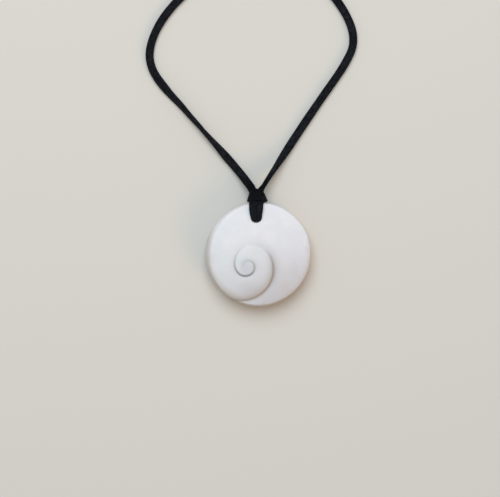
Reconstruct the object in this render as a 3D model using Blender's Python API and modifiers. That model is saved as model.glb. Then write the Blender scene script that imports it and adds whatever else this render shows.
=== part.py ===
"""A shiva eye shell: a polished white disc with a spiral on its face, drilled near the rim and
tied on a flat black lace.

The shell lies on its domed back with the spiral up. Its centre is at the origin, the hole is
towards +Y, and the surface it rests on is z = 0. The lace runs away from the hole along that
surface and is one closed loop; its slack is wound in a small coil.
Sizes are in millimetres times MM, so every value that reaches Blender is in metres.
"""

from math import atan2, cos, degrees, exp, pi, radians, sin, sqrt

import bmesh
import bpy
import numpy as np
from mathutils import Vector

MM = 0.001
GAP = 0.3 * MM                  # kept between pieces that touch

# The shell
OUTLINE_RADIUS = 22.7 * MM      # mean radius, so the disc is about 45 mm across
OVALNESS = 0.25 * MM            # how far the outline leaves a circle
OVAL_TURN = radians(15)         # direction of its longest axis
LOPSIDEDNESS = 0.18 * MM        # how much farther it reaches on one side
LOPSIDED_TURN = radians(-45)    # where it reaches farthest
THICKNESS = 10.4 * MM           # from the resting spot to the eye of the spiral
FACE_CURVE = 220 * MM           # radius of the slight doming of the face
GIRTH_HEIGHT = 6.0 * MM         # height of the widest line
RIM_ROUNDING = 0.7 * MM         # width of the rounded edge of the face
RIM_WALL_LEFT = 1.9 * MM        # how much wider that edge is on the left
RIM_WALL_TURN = radians(172)    # where it is widest
BACK_CURVE = 44 * MM            # radius of the domed back
SPOT_RADIUS = 5.6 * MM          # the small flat spot that the shell rests on
UNDER_ROUNDING = 2.0 * MM       # rounding between the girth and the domed back
EYE = (-4.46 * MM, -5.71 * MM)  # the eye, where the spiral starts

# The spiral line: it starts at SPIRAL_START and runs clockwise with one station each SPIRAL_STEP.
# Each station has its distance from the eye and the depth of the step there, both in millimetres.
SPIRAL_START = 270
SPIRAL_STEP = 45
SPIRAL = (
    (1.05, 0.00), (1.35, 0.03), (1.75, 0.06), (2.20, 0.10), (2.62, 0.15), (2.88, 0.22), (3.07, 0.32),
    (3.32, 0.40), (3.83, 0.45), (4.60, 0.40), (5.45, 0.30), (6.90, 0.12), (9.25, 0.05), (10.60, 0.16),
    (11.20, 0.75), (12.35, 1.00), (14.35, 0.95), (16.60, 0.80), (19.50, 0.80),
)
SHOULDER_WIDTH = 0.50 * MM      # the rounded shoulder inside the line, at the eye
SHOULDER_GROWTH = 0.15          # how much wider it gets, per distance from the eye
SHOULDER_POWER = 2.4
FOOT_WIDTH = 1.30 * MM          # the dip outside the line, at the eye
FOOT_GROWTH = 0.11
FOOT_POWER = 1.2

# The hole
HOLE = (-0.62 * MM, 15.6 * MM)
HOLE_RADIUS = 2.15 * MM
HOLE_LIP = 0.5 * MM             # how far the hole widens at each face

# How finely the shell is divided
SEGMENTS = 72
FACE_RINGS = 27
RIM_RINGS = 5
UNDER_RINGS = 3
BACK_RINGS = 5
RING_DRAW = 5.0                 # how strongly the rings are drawn to the spiral line

# The lace
LACE_WIDTH = 3.5 * MM
LACE_THICKNESS = 2.0 * MM
POINT_SPACING = 4.0 * MM
COIL_CENTRE = (0.0, 148 * MM)
COIL_RADIUS = 19.3 * MM         # to the middle of the turns
COIL_WIDTH = 7.4 * MM           # two turns side by side
COIL_HEIGHT = 2.3 * MM
COIL_STEPS = 40

# Routes are lists of x, y, lift off the surface and roll about the lace, in millimetres and degrees.
# At a roll of 180 the lace lies as flat as at 0, after half a turn about itself.
# The first starts at the knot on the shell and ends at the coil.
LEFT_ROUTE = (
    (-3.15, 29.2, 3.6, 0), (-4.95, 31.6, 2.3, 0), (-7.2, 34.6, 1.1, 0), (-10.7, 38.8, 0.2, 10),
    (-14.5, 43.2, 0.0, 40), (-18.3, 47.6, 0.0, 67), (-22.2, 51.9, 0.0, 82), (-26.0, 56.2, 0.0, 95),
    (-29.9, 60.5, 0.0, 103), (-33.7, 64.9, 0.0, 113), (-37.8, 69.2, 0.0, 128), (-41.4, 73.5, 0.0, 155),
    (-44.5, 77.8, 0.0, 175), (-46.5, 82.2, 0.0, 180), (-47.2, 86.9, 0.0, 180), (-46.4, 92.0, 0.0, 180),
    (-44.4, 97.3, 0.0, 180), (-41.3, 102.7, 0.0, 180), (-37.1, 108.1, 0.0, 180),
    (-31.9, 113.4, 0.0, 180), (-25.9, 118.3, 0.0, 180), (-19.5, 122.4, 0.0, 180),
    (-12.2, 125.6, 0.0, 180),
)
# The second starts past the closing knot and ends at the knot on the shell.
RIGHT_ROUTE = (
    (21.8, 123.3, 0.0, 180), (27.0, 119.0, 0.0, 180), (31.8, 114.0, 0.0, 180), (35.8, 108.8, 0.0, 180),
    (38.9, 103.6, 0.0, 180), (41.0, 98.4, 0.0, 180), (41.7, 93.6, 0.0, 180), (41.0, 89.0, 0.0, 180),
    (38.3, 83.4, 0.0, 180), (34.8, 77.8, 0.0, 180), (28.7, 69.1, 0.0, 180), (22.8, 60.5, 0.0, 184),
    (17.0, 51.8, 0.0, 198), (11.4, 43.2, 0.2, 225), (8.4, 38.6, 1.0, 248), (5.7, 34.5, 2.0, 260),
    (3.6, 31.2, 3.0, 264), (2.35, 29.2, 3.6, 266),
)
CLOSING_KNOT = (17.7 * MM, 126.2 * MM)
CLOSING_KNOT_SIZE = (9.0 * MM, 7.0 * MM, 4.6 * MM)
CLOSING_KNOT_TURN = radians(-36)
TIE_THICKNESS = 1.0 * MM
TIE_WIDTH = 2.4 * MM

# The knot on the shell: a strap of two legs lying side by side that goes down through the hole
# and comes back round the rim, and the collar that holds it.
STRAP_WIDTH = 5.6 * MM
STRAP_THICKNESS = 2.2 * MM
STRAP_IN_HOLE = 0.54            # how much the strap narrows in the hole
STRAP_LEAN = 0.5 * MM           # how far it runs from the hole's axis, away from the rim
COLLAR_CENTRE = (-0.75 * MM, 25.6 * MM, 5.6 * MM)
COLLAR_SIZE = (9.6 * MM, 5.6 * MM, 7.4 * MM)
COLLAR_TAPER = 0.80             # width of its far end against its near end

SHELL_WHITE = (0.84, 0.85, 0.87, 1.0)
LACE_BLACK = (0.012, 0.013, 0.016, 1.0)


def clear_scene():
    for obj in list(bpy.data.objects):
        bpy.data.objects.remove(obj, do_unlink=True)


def new_collection(name, helpers=False):
    collection = bpy.data.collections.new(name)
    collection.hide_render = helpers
    bpy.context.scene.collection.children.link(collection)
    return collection


def material(name, colour, roughness):
    """One Principled material with no metal in it."""
    made = bpy.data.materials.new(name)
    made.use_nodes = True
    shader = made.node_tree.nodes["Principled BSDF"]
    shader.inputs["Base Color"].default_value = colour
    shader.inputs["Roughness"].default_value = roughness
    shader.inputs["Metallic"].default_value = 0.0
    return made


def add_object(name, data, collection):
    obj = bpy.data.objects.new(name, data)
    collection.objects.link(obj)
    return obj


def finish_mesh(obj, finish, smooth_angle):
    obj.data.materials.clear()
    obj.data.materials.append(finish)
    obj.data.shade_smooth()
    obj.data.set_sharp_from_angle(angle=smooth_angle)


def mesh_from_curve(obj, collection):
    """Replaces a curve object by the mesh that it makes, with its caps welded on."""
    evaluated = obj.evaluated_get(bpy.context.evaluated_depsgraph_get())
    mesh = bpy.data.meshes.new_from_object(evaluated)
    welded = bmesh.new()
    welded.from_mesh(mesh)
    bmesh.ops.remove_doubles(welded, verts=welded.verts, dist=0.00001)
    welded.to_mesh(mesh)
    welded.free()
    made = add_object(obj.name + "_mesh", mesh, collection)
    made.matrix_world = obj.matrix_world.copy()
    name = obj.name
    bpy.data.objects.remove(obj, do_unlink=True)
    made.name = name
    return made


def catmull(before, start, end, after, t):
    """A smooth value between start and end, for t from 0 to 1."""
    return 0.5 * (2 * start + (end - before) * t + (2 * before - 5 * start + 4 * end - after) * t * t
                  + (3 * start - 3 * end + after - before) * t ** 3)


def at_station(values, place):
    """Reads a row of evenly spaced values at any place along it."""
    last = len(values) - 1
    index = min(max(int(place), 0), last - 1)
    before = values[max(index - 1, 0)]
    after = values[min(index + 2, last)]
    return catmull(before, values[index], values[index + 1], after, place - index)


def spiral_lines(bearing):
    """The radius and depth of each turn of the spiral line that a ray from the eye crosses."""
    radii = [radius for radius, _ in SPIRAL]
    depths = [depth for _, depth in SPIRAL]
    lines = []
    for turn in (bearing, bearing - 360, bearing - 720):
        place = (SPIRAL_START - turn) / SPIRAL_STEP
        if 0 <= place <= len(SPIRAL) - 1:
            lines.append((at_station(radii, place) * MM, at_station(depths, place) * MM))
    return lines


def shoulder_width(line_radius):
    return SHOULDER_WIDTH + SHOULDER_GROWTH * line_radius


def groove(distance, line_radius, depth):
    """How far the face dips at a distance outside one turn of the spiral line."""
    shoulder = shoulder_width(line_radius)
    if distance <= -shoulder:
        return 0.0
    if distance < 0:
        return depth * (1 + distance / shoulder) ** SHOULDER_POWER
    foot = FOOT_WIDTH + FOOT_GROWTH * line_radius
    return depth * exp(-(distance / foot) ** FOOT_POWER)


def outline_radius(bearing):
    oval = OVALNESS * cos(2 * (bearing - OVAL_TURN))
    return OUTLINE_RADIUS + oval + LOPSIDEDNESS * cos(bearing - LOPSIDED_TURN)


def rim_rounding(bearing):
    return RIM_ROUNDING + RIM_WALL_LEFT * max(0.0, cos(bearing - RIM_WALL_TURN)) ** 2.5


def rim_fall(inward, rounding):
    """The quarter round of an edge: 0 at the girth, 1 where the face starts."""
    if inward >= rounding:
        return 1.0
    return sqrt(max(0.0, 1 - (1 - max(inward, 0.0) / rounding) ** 2))


def face_height(x, y):
    """Height of the spiral face over the resting surface."""
    from_eye = sqrt((x - EYE[0]) ** 2 + (y - EYE[1]) ** 2)
    height = THICKNESS - from_eye ** 2 / (2 * FACE_CURVE)
    bearing = degrees(atan2(y - EYE[1], x - EYE[0]))
    height -= max(groove(from_eye - line, line, depth) for line, depth in spiral_lines(bearing))
    around = atan2(y, x)
    inward = outline_radius(around) - sqrt(x * x + y * y)
    return GIRTH_HEIGHT + (height - GIRTH_HEIGHT) * rim_fall(inward, rim_rounding(around))


def back_height(radius):
    """Height of the domed back over the resting surface, flat on the spot."""
    flat = BACK_CURVE - sqrt(BACK_CURVE ** 2 - SPOT_RADIUS ** 2)
    return max(0.0, BACK_CURVE - sqrt(BACK_CURVE ** 2 - radius ** 2) - flat)


def reach_from_eye(bearing, inward):
    """Length of a ray from the eye to the line that lies inward of the outline."""
    direction = Vector((cos(bearing), sin(bearing)))
    eye = Vector(EYE)
    along = eye.dot(direction)
    around = bearing
    for _ in range(6):
        radius = outline_radius(around) - inward
        reach = -along + sqrt(along ** 2 + radius ** 2 - eye.length_squared)
        point = eye + direction * reach
        around = atan2(point.y, point.x)
    return reach


def face_radii(bearing):
    """Distances from the eye of the face's rings on one ray, closer together at the spiral line."""
    edge = reach_from_eye(bearing, 0.0)
    point = Vector(EYE) + Vector((cos(bearing), sin(bearing))) * edge
    rounding = rim_rounding(atan2(point.y, point.x))
    end = reach_from_eye(bearing, rounding)
    radii = np.linspace(0.0, end, 400)
    weight = np.ones_like(radii)
    for line, depth in spiral_lines(degrees(bearing)):
        shoulder = shoulder_width(line)
        weight += RING_DRAW * (depth / MM) * np.exp(-((radii - line + 0.2 * shoulder) / shoulder) ** 2)
    total = np.concatenate(([0.0], np.cumsum((weight[1:] + weight[:-1]) / 2)))
    rings = list(np.interp(np.linspace(0, total[-1], FACE_RINGS + 1), total, radii))
    for ring in range(1, RIM_RINGS + 1):
        inward = rounding * (1 - sin(pi / 2 * ring / RIM_RINGS))
        rings.append(reach_from_eye(bearing, inward))
    return rings


def under_point(edge, ring):
    """A point of the underside: rings from the girth round to the back, then in to the spot."""
    around = atan2(edge.y, edge.x)
    whole = edge.length
    if ring <= UNDER_RINGS:
        inward = UNDER_ROUNDING * (1 - cos(pi / 2 * ring / UNDER_RINGS))
        back_start = back_height(whole - UNDER_ROUNDING)
        fall = sin(pi / 2 * ring / UNDER_RINGS)
        return Vector((cos(around) * (whole - inward), sin(around) * (whole - inward),
                       GIRTH_HEIGHT + (back_start - GIRTH_HEIGHT) * fall))
    part = (ring - UNDER_RINGS) / BACK_RINGS
    radius = (whole - UNDER_ROUNDING) * (1 - part) + SPOT_RADIUS * part
    return Vector((cos(around) * radius, sin(around) * radius, back_height(radius)))


def shell_body(collection):
    """A sphere's rings and rays, moved onto the face, the rim and the domed back."""
    rings = FACE_RINGS + RIM_RINGS + UNDER_RINGS + BACK_RINGS + 1
    shaped = bmesh.new()
    bmesh.ops.create_uvsphere(shaped, u_segments=SEGMENTS, v_segments=rings, radius=1.0)
    rays = {}
    for vert in shaped.verts:
        ring = round((pi / 2 - atan2(vert.co.z, vert.co.xy.length)) / (pi / rings))
        step = round(atan2(vert.co.y, vert.co.x) / (2 * pi / SEGMENTS)) % SEGMENTS
        bearing = 2 * pi * step / SEGMENTS
        bearing = bearing - 2 * pi if bearing > pi else bearing
        if step not in rays:
            rays[step] = face_radii(bearing)
        if ring == 0:
            vert.co = (EYE[0], EYE[1], face_height(*EYE))
        elif ring == rings:
            vert.co = (0.0, 0.0, 0.0)
        elif ring <= FACE_RINGS + RIM_RINGS:
            x = EYE[0] + cos(bearing) * rays[step][ring]
            y = EYE[1] + sin(bearing) * rays[step][ring]
            vert.co = (x, y, face_height(x, y))
        else:
            edge = Vector(EYE) + Vector((cos(bearing), sin(bearing))) * rays[step][-1]
            vert.co = under_point(edge, ring - FACE_RINGS - RIM_RINGS)
    mesh = bpy.data.meshes.new("shell")
    shaped.to_mesh(mesh)
    shaped.free()
    return add_object("shell", mesh, collection)


def turned(name, profile, steps, collection):
    """A closed turned solid from a profile of radius and height, listed from top to bottom."""
    mesh = bpy.data.meshes.new(name)
    points = [(radius, 0.0, height) for radius, height in profile]
    closed = profile[0][0] > 0
    count = len(points)
    edges = [(index, index + 1) for index in range(count - 1)]
    if closed:
        edges.append((count - 1, 0))
    mesh.from_pydata(points, edges, [])
    obj = add_object(name, mesh, collection)
    screw = obj.modifiers.new("turn", "SCREW")
    screw.steps = steps
    screw.render_steps = steps
    screw.use_merge_vertices = True
    screw.merge_threshold = 0.00001
    screw.use_normal_calculate = False
    return obj


def hole_cutter(helpers):
    """The drill: a straight bore that widens a little where it meets each face."""
    top = face_height(*HOLE)
    bottom = back_height(Vector(HOLE).length)
    wide = HOLE_RADIUS + HOLE_LIP
    profile = (
        (0.0, top + 3 * MM), (wide + 3 * MM, top + 3 * MM), (wide, top), (HOLE_RADIUS, top - HOLE_LIP),
        (HOLE_RADIUS, bottom + HOLE_LIP), (wide, bottom), (wide + 2 * MM, bottom - 2 * MM),
        (0.0, bottom - 2 * MM),
    )
    cutter = turned("hole_cutter", profile, 28, helpers)
    cutter.location = (HOLE[0], HOLE[1], 0.0)
    cutter.hide_render = True
    cutter.display_type = "WIRE"
    return cutter


def make_shell(parts, helpers, finish):
    shell = shell_body(parts)
    cut = shell.modifiers.new("hole", "BOOLEAN")
    cut.operation = "DIFFERENCE"
    cut.solver = "EXACT"
    cut.object = hole_cutter(helpers)
    finish_mesh(shell, finish, radians(50))
    return shell


def rest_height(roll):
    """Height of the lace's middle when its turned section just touches the surface."""
    flat = LACE_THICKNESS / 2 * abs(cos(roll))
    upright = (LACE_WIDTH / 2) * abs(sin(roll))
    return flat + upright


def smooth_route(route):
    """Points and rolls read every POINT_SPACING from a smooth curve through a route's own points."""
    rows = []
    for x, y, lift, roll in route:
        rows.append(np.array((x * MM, y * MM, lift * MM, radians(roll))))
    dense = []
    for index in range(len(rows) - 1):
        before = rows[max(index - 1, 0)]
        after = rows[min(index + 2, len(rows) - 1)]
        for part in range(20):
            dense.append(catmull(before, rows[index], rows[index + 1], after, part / 20))
    dense.append(rows[-1])
    dense = np.array(dense)
    steps = np.linalg.norm(np.diff(dense[:, :3], axis=0), axis=1)
    along = np.concatenate(([0.0], np.cumsum(steps)))
    count = max(2, round(along[-1] / POINT_SPACING))
    places = np.linspace(0, along[-1], count + 1)
    rows = np.column_stack([np.interp(places, along, dense[:, column]) for column in range(4)])
    return [(Vector((x, y, max(lift, 0.0) + rest_height(roll))), roll) for x, y, lift, roll in rows]


def lace_section(name, width, thickness, helpers):
    """The flat section that a lace curve carries, with its corners taken off."""
    outline = bpy.data.curves.new(name, "CURVE")
    outline.dimensions = "2D"
    spline = outline.splines.new("POLY")
    corner = thickness * 0.28
    half_w, half_t = width / 2, thickness / 2
    points = [
        (half_w, corner - half_t), (half_w, half_t - corner), (half_w - corner, half_t),
        (corner - half_w, half_t), (-half_w, half_t - corner), (-half_w, corner - half_t),
        (corner - half_w, -half_t), (half_w - corner, -half_t),
    ]
    spline.points.add(len(points) - 1)
    for point, (x, y) in zip(spline.points, reversed(points)):
        point.co = (x, y, 0.0, 1.0)
    spline.use_cyclic_u = True
    section = add_object(name, outline, helpers)
    section.hide_render = True
    section.display_type = "WIRE"
    return section


def lace_curve(name, points, section, collection, cyclic=False):
    """A lace as a poly curve with a flat section: points are place, roll and scale."""
    curve = bpy.data.curves.new(name, "CURVE")
    curve.dimensions = "3D"
    curve.twist_mode = "Z_UP"
    curve.bevel_mode = "OBJECT"
    curve.bevel_object = section
    curve.use_fill_caps = True
    spline = curve.splines.new("POLY")
    spline.points.add(len(points) - 1)
    for point, (place, roll, scale) in zip(spline.points, points):
        point.co = (*place, 1.0)
        point.tilt = roll
        point.radius = scale
    spline.use_cyclic_u = cyclic
    return add_object(name, curve, collection)


def make_strand(name, route, section, parts, finish):
    points = [(place, roll, 1.0) for place, roll in smooth_route(route)]
    strand = mesh_from_curve(lace_curve(name, points, section, parts), parts)
    finish_mesh(strand, finish, radians(50))
    return strand


def make_coil(parts, finish):
    """The outer shape of the coiled slack: a low turned ring."""
    inner = COIL_RADIUS - COIL_WIDTH / 2
    outer = COIL_RADIUS + COIL_WIDTH / 2
    soft = 0.5 * MM
    profile = (
        (inner + soft, COIL_HEIGHT), (outer - soft, COIL_HEIGHT), (outer, COIL_HEIGHT - soft),
        (outer, soft), (outer - soft, 0.0), (inner + soft, 0.0), (inner, soft),
        (inner, COIL_HEIGHT - soft),
    )
    coil = turned("lace_coil", profile, COIL_STEPS, parts)
    coil.location = (COIL_CENTRE[0], COIL_CENTRE[1], 0.0)
    finish_mesh(coil, finish, radians(50))
    return coil


def make_tie(parts, finish):
    """The short tie over the coil's far side, with its ends down on the surface."""
    near = COIL_RADIUS - COIL_WIDTH / 2 - GAP
    far = COIL_RADIUS + COIL_WIDTH / 2 + GAP
    top = COIL_HEIGHT + GAP
    bend = 0.6 * MM
    outline = [
        (near - TIE_THICKNESS, 0.0), (near, 0.0), (near, top), (far, top), (far, 0.0),
        (far + TIE_THICKNESS, 0.0), (far + TIE_THICKNESS, top + TIE_THICKNESS - bend),
        (far + TIE_THICKNESS - bend, top + TIE_THICKNESS),
        (near - TIE_THICKNESS + bend, top + TIE_THICKNESS),
        (near - TIE_THICKNESS, top + TIE_THICKNESS - bend),
    ]
    curve = bpy.data.curves.new("coil_tie", "CURVE")
    curve.dimensions = "2D"
    curve.fill_mode = "BOTH"
    curve.extrude = TIE_WIDTH / 2
    spline = curve.splines.new("POLY")
    spline.points.add(len(outline) - 1)
    for point, (x, y) in zip(spline.points, outline):
        point.co = (x, y, 0.0, 1.0)
    spline.use_cyclic_u = True
    tie = add_object("coil_tie", curve, parts)
    tie.rotation_euler = (pi / 2, 0.0, pi / 2)
    tie.location = (COIL_CENTRE[0], COIL_CENTRE[1], 0.0)
    bpy.context.view_layer.update()
    tie = mesh_from_curve(tie, parts)
    finish_mesh(tie, finish, radians(30))
    return tie


def rounded_lump(name, centre, size, collection):
    """A box cage with a Subdivision Surface, scaled up so that the smooth form has the size."""
    caged = bmesh.new()
    bmesh.ops.create_cube(caged, size=1.0)
    bmesh.ops.subdivide_edges(caged, edges=caged.edges, cuts=1, use_grid_fill=True)
    for vert in caged.verts:
        for axis in range(3):
            vert.co[axis] *= size[axis]
    mesh = bpy.data.meshes.new(name)
    caged.to_mesh(mesh)
    caged.free()
    lump = add_object(name, mesh, collection)
    lump.location = centre
    smooth = lump.modifiers.new("soft form", "SUBSURF")
    smooth.levels = 2
    smooth.render_levels = 2
    return lump


def make_closing_knot(parts, finish):
    width, depth, height = CLOSING_KNOT_SIZE
    centre = (CLOSING_KNOT[0], CLOSING_KNOT[1], height / 2)
    knot = rounded_lump("closing_knot", centre, CLOSING_KNOT_SIZE, parts)
    knot.rotation_euler = (0.0, 0.0, CLOSING_KNOT_TURN)
    finish_mesh(knot, finish, radians(60))
    return knot


def strap_points():
    """The strap's round: up from the collar, along the face, down the hole and back under the rim."""
    x, hole_y = HOLE
    down_y = hole_y - STRAP_LEAN
    rim_y = outline_radius(pi / 2)
    half = STRAP_THICKNESS / 2
    outside = [
        (rim_y + 1.8 * MM, 3.6 * MM, 0.90),
        (rim_y + 2.4 * MM, 5.8 * MM, 1.0),
        (rim_y + 1.4 * MM, 9.3 * MM, 1.0),
    ]
    over = []
    for y, scale in ((21.2 * MM, 1.0), (19.6 * MM, 0.96), (18.0 * MM, 0.90), (16.4 * MM, 0.82)):
        over.append((y, face_height(x, y) + GAP + half * scale + 0.1 * MM, scale))
    top = face_height(x, down_y)
    bottom = back_height(down_y)
    down = [
        (down_y + 0.2 * MM, top + 0.5 * MM, 0.66),
        (down_y, top - 1.0 * MM, STRAP_IN_HOLE),
        (down_y, (top + bottom) / 2, STRAP_IN_HOLE),
        (down_y, bottom + 1.0 * MM, STRAP_IN_HOLE),
        (down_y + 0.9 * MM, bottom - 0.4 * MM, STRAP_IN_HOLE),
    ]
    under = []
    for y, scale in ((18.4 * MM, 0.72), (20.4 * MM, 0.84)):
        under.append((y, back_height(y) - GAP - half * scale, scale))
    return [(Vector((x, y, z)), 0.0, scale) for y, z, scale in outside + over + down + under]


def make_rim_knot(parts, helpers, finish):
    """The knot on the shell: strap and collar joined in one solid."""
    section = lace_section("strap_section", STRAP_WIDTH, STRAP_THICKNESS, helpers)
    knot = mesh_from_curve(lace_curve("rim_knot", strap_points(), section, parts, cyclic=True), parts)
    collar = rounded_lump("collar_form", COLLAR_CENTRE, COLLAR_SIZE, helpers)
    collar.hide_render = True
    collar.display_type = "WIRE"
    for vert in collar.data.vertices:
        if vert.co.y > 0:
            vert.co.x *= COLLAR_TAPER
    join = knot.modifiers.new("collar", "BOOLEAN")
    join.operation = "UNION"
    join.solver = "EXACT"
    join.object = collar
    finish_mesh(knot, finish, radians(60))
    return knot


def main():
    clear_scene()
    parts = new_collection("shiva_eye_shell")
    helpers = new_collection("helpers", helpers=True)
    porcelain = material("polished_shell", SHELL_WHITE, 0.28)
    suede = material("black_lace", LACE_BLACK, 0.85)
    section = lace_section("lace_section", LACE_WIDTH, LACE_THICKNESS, helpers)
    make_shell(parts, helpers, porcelain)
    make_rim_knot(parts, helpers, suede)
    make_strand("lace_left", LEFT_ROUTE, section, parts, suede)
    make_strand("lace_right", RIGHT_ROUTE, section, parts, suede)
    make_closing_knot(parts, suede)
    make_coil(parts, suede)
    make_tie(parts, suede)


main()
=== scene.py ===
# %% [markdown]
# # A shiva eye shell on its lace
#
# A shiva eye is the lid with which a big sea snail shuts its shell. One side of it is domed. The
# other side shows a spiral, because the lid grew by laying new shell along one edge, turn after
# turn. This one is polished white, drilled near its rim, and tied on a flat black lace.
#
# The measured model comes first and stays as it is. Everything below is modelled around it, in
# the same place and in metres: the shell lies on its domed back with the spiral up, its hole is
# towards +Y, and the table is at z = 0.

# %% Load the measured model
from math import atan2, cos, degrees, exp, pi, radians, sin, sqrt
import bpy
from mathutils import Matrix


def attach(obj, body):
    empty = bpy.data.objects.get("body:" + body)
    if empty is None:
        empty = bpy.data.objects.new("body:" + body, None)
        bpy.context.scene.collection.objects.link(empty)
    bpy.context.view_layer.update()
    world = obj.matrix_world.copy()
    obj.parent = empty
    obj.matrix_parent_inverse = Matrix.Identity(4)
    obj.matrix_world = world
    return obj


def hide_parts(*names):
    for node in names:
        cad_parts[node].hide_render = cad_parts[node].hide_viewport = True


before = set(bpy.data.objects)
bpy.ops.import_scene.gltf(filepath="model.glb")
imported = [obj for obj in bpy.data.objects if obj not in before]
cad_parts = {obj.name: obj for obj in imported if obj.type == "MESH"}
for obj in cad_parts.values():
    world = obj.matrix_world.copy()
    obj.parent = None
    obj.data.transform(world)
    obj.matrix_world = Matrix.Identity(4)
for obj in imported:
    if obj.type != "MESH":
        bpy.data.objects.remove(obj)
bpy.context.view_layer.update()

from types import SimpleNamespace

import bmesh
import bpy
import numpy as np
from mathutils import Vector

MM = 0.001

# %% [markdown]
# ## The camera
#
# The picture to match looks straight at the spiral. The shell lies down here, so the camera looks
# straight down. A long lens from far away keeps the lace, which is lower, at the same size as the
# shell. The camera comes first because it decides how much of the lace is seen: the rest of it is
# put away beyond the top of the frame. The Standard view shows each colour as it is lit, with no
# film-like curve, so the whites of the shell can be matched by number.

# %% The camera looks down on the spiral
PICTURE_WIDTH = 500             # pixels
PICTURE_HEIGHT = 497
MM_PER_PIXEL = 0.4327           # on the face of the shell
SHELL_PIXEL = (257.8, 253.8)    # where the shell's centre falls in the picture
CAMERA_HEIGHT = 0.80
FACE_LEVEL = 8 * MM
SENSOR = 36.0                   # millimetres, Blender's own default
CLIP_START = 0.01


def add_camera():
    x = (PICTURE_WIDTH / 2 - SHELL_PIXEL[0]) * MM_PER_PIXEL * MM
    y = (SHELL_PIXEL[1] - PICTURE_HEIGHT / 2) * MM_PER_PIXEL * MM
    bpy.ops.object.camera_add(location=(x, y, CAMERA_HEIGHT), rotation=(0, 0, 0))
    camera = bpy.context.object
    camera.name = "camera"
    camera.data.sensor_width = SENSOR
    frame_width = PICTURE_WIDTH * MM_PER_PIXEL * MM
    camera.data.lens = SENSOR * (CAMERA_HEIGHT - FACE_LEVEL) / frame_width
    camera.data.clip_start = CLIP_START
    bpy.context.scene.camera = camera
    bpy.context.scene.view_settings.view_transform = "Standard"
    return camera


camera = add_camera()
print(f"lens {camera.data.lens:.1f} mm at {CAMERA_HEIGHT} m")

# %% [markdown]
# ## Shader expressions
#
# A material is a graph of nodes, and a graph made in code soon hides what it works out. So one
# small class wraps an output of a node: sums written on it add their own Math nodes, and every
# other node comes from a single method.


# %% A small class for shader sums
class Wire:
    """One output of a shader node. Sums on wires add Math nodes."""

    def __init__(self, tree, socket):
        self.tree = tree
        self.socket = socket

    def node(self, kind, settings=None, inputs=None, output=0):
        """Adds a node of this kind: its settings are set first, then its sockets, by name or number."""
        made = self.tree.nodes.new(kind)
        for name, value in (settings or {}).items():
            setattr(made, name, value)
        for name, value in (inputs or {}).items():
            if isinstance(value, Wire):
                self.tree.links.new(value.socket, made.inputs[name])
            else:
                made.inputs[name].default_value = value
        return Wire(self.tree, made.outputs[output])

    def sum(self, operation, first, second=0.0):
        return self.node("ShaderNodeMath", {"operation": operation}, {0: first, 1: second})

    def __add__(self, other):
        return self.sum("ADD", self, other)

    def __radd__(self, other):
        return self.sum("ADD", other, self)

    def __sub__(self, other):
        return self.sum("SUBTRACT", self, other)

    def __rsub__(self, other):
        return self.sum("SUBTRACT", other, self)

    def __mul__(self, other):
        return self.sum("MULTIPLY", self, other)

    def __rmul__(self, other):
        return self.sum("MULTIPLY", other, self)

    def ramp(self, low, high):
        """0 below low, 1 above high, and smooth between."""
        return self.node(
            "ShaderNodeMapRange", {"interpolation_type": "SMOOTHSTEP"},
            {"Value": self, "From Min": low, "From Max": high},
        )

    def blend(self, first, second):
        """The colour first where this wire is 0, and second where it is 1."""
        inputs = {"Factor": self, 6: first, 7: second}
        return self.node("ShaderNodeMix", {"data_type": "RGBA"}, inputs, output=2)

    def axes(self):
        """The three numbers of this vector."""
        split = self.node("ShaderNodeSeparateXYZ", inputs={0: self})
        return [Wire(self.tree, output) for output in split.socket.node.outputs]

    def distance(self, point):
        """How far this place is from a point."""
        return self.node("ShaderNodeVectorMath", {"operation": "DISTANCE"}, {0: self, 1: point}, output=1)

    def noise(self, scale, detail=3.0, roughness=0.5):
        """Noise read at this place."""
        return self.node("ShaderNodeTexNoise", inputs={
            "Vector": self, "Scale": scale, "Detail": detail, "Roughness": roughness})


def new_material(name):
    """An empty Principled material, its shader and a wire of the place on the piece in millimetres."""
    made = bpy.data.materials.new(name)
    made.use_nodes = True
    tree = made.node_tree
    place = Wire(tree, tree.nodes.new("ShaderNodeTexCoord").outputs["Object"])
    in_mm = place.node("ShaderNodeVectorMath", {"operation": "SCALE"}, {0: place, "Scale": 1 / MM})
    return made, tree.nodes["Principled BSDF"], in_mm


def feed(shader, name, wire):
    wire.tree.links.new(wire.socket, shader.inputs[name])


def set_shader(shader, values):
    """Sets what is the same all over the surface on the shader's own sockets."""
    for name, value in values.items():
        shader.inputs[name].default_value = value


# %% [markdown]
# ## The route of the lace
#
# The lace is one piece: it leaves the knot at the shell's hole on the left, runs over the table
# and comes back to the knot on the right. What the picture doesn't show is wound in a small coil of
# two turns beyond the top of the frame. The lace is flat, so each point of its route also says
# how far it is rolled. On a table it lies flat, and stands on edge only where it twists over.

# %% The lace's own sizes and helpers
LACE_WIDTH = 3.5 * MM
LACE_THICKNESS = 2.0 * MM
LACE_SQUARENESS = 4.5           # 2 would be an ellipse, and more is boxier


def rest_height(roll, width):
    """Height of the lace's middle when its turned section just touches the table."""
    power = LACE_SQUARENESS / (LACE_SQUARENESS - 1)
    flat = (LACE_THICKNESS / 2 * abs(cos(roll))) ** power
    upright = (width / 2 * abs(sin(roll))) ** power
    return (flat + upright) ** (1 / power)


def width_at(place):
    """The lace is cut by hand, and its width wobbles by about two parts in a hundred."""
    return LACE_WIDTH * (1 + 0.012 * sin(place / (2.3 * MM)) + 0.010 * sin(place / (5.1 * MM) + 1.3))


def catmull(before, start, end, after, t):
    """A smooth value between start and end, for t from 0 to 1."""
    return 0.5 * (2 * start + (end - before) * t + (2 * before - 5 * start + 4 * end - after) * t * t
                  + (3 * start - 3 * end + after - before) * t ** 3)


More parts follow.
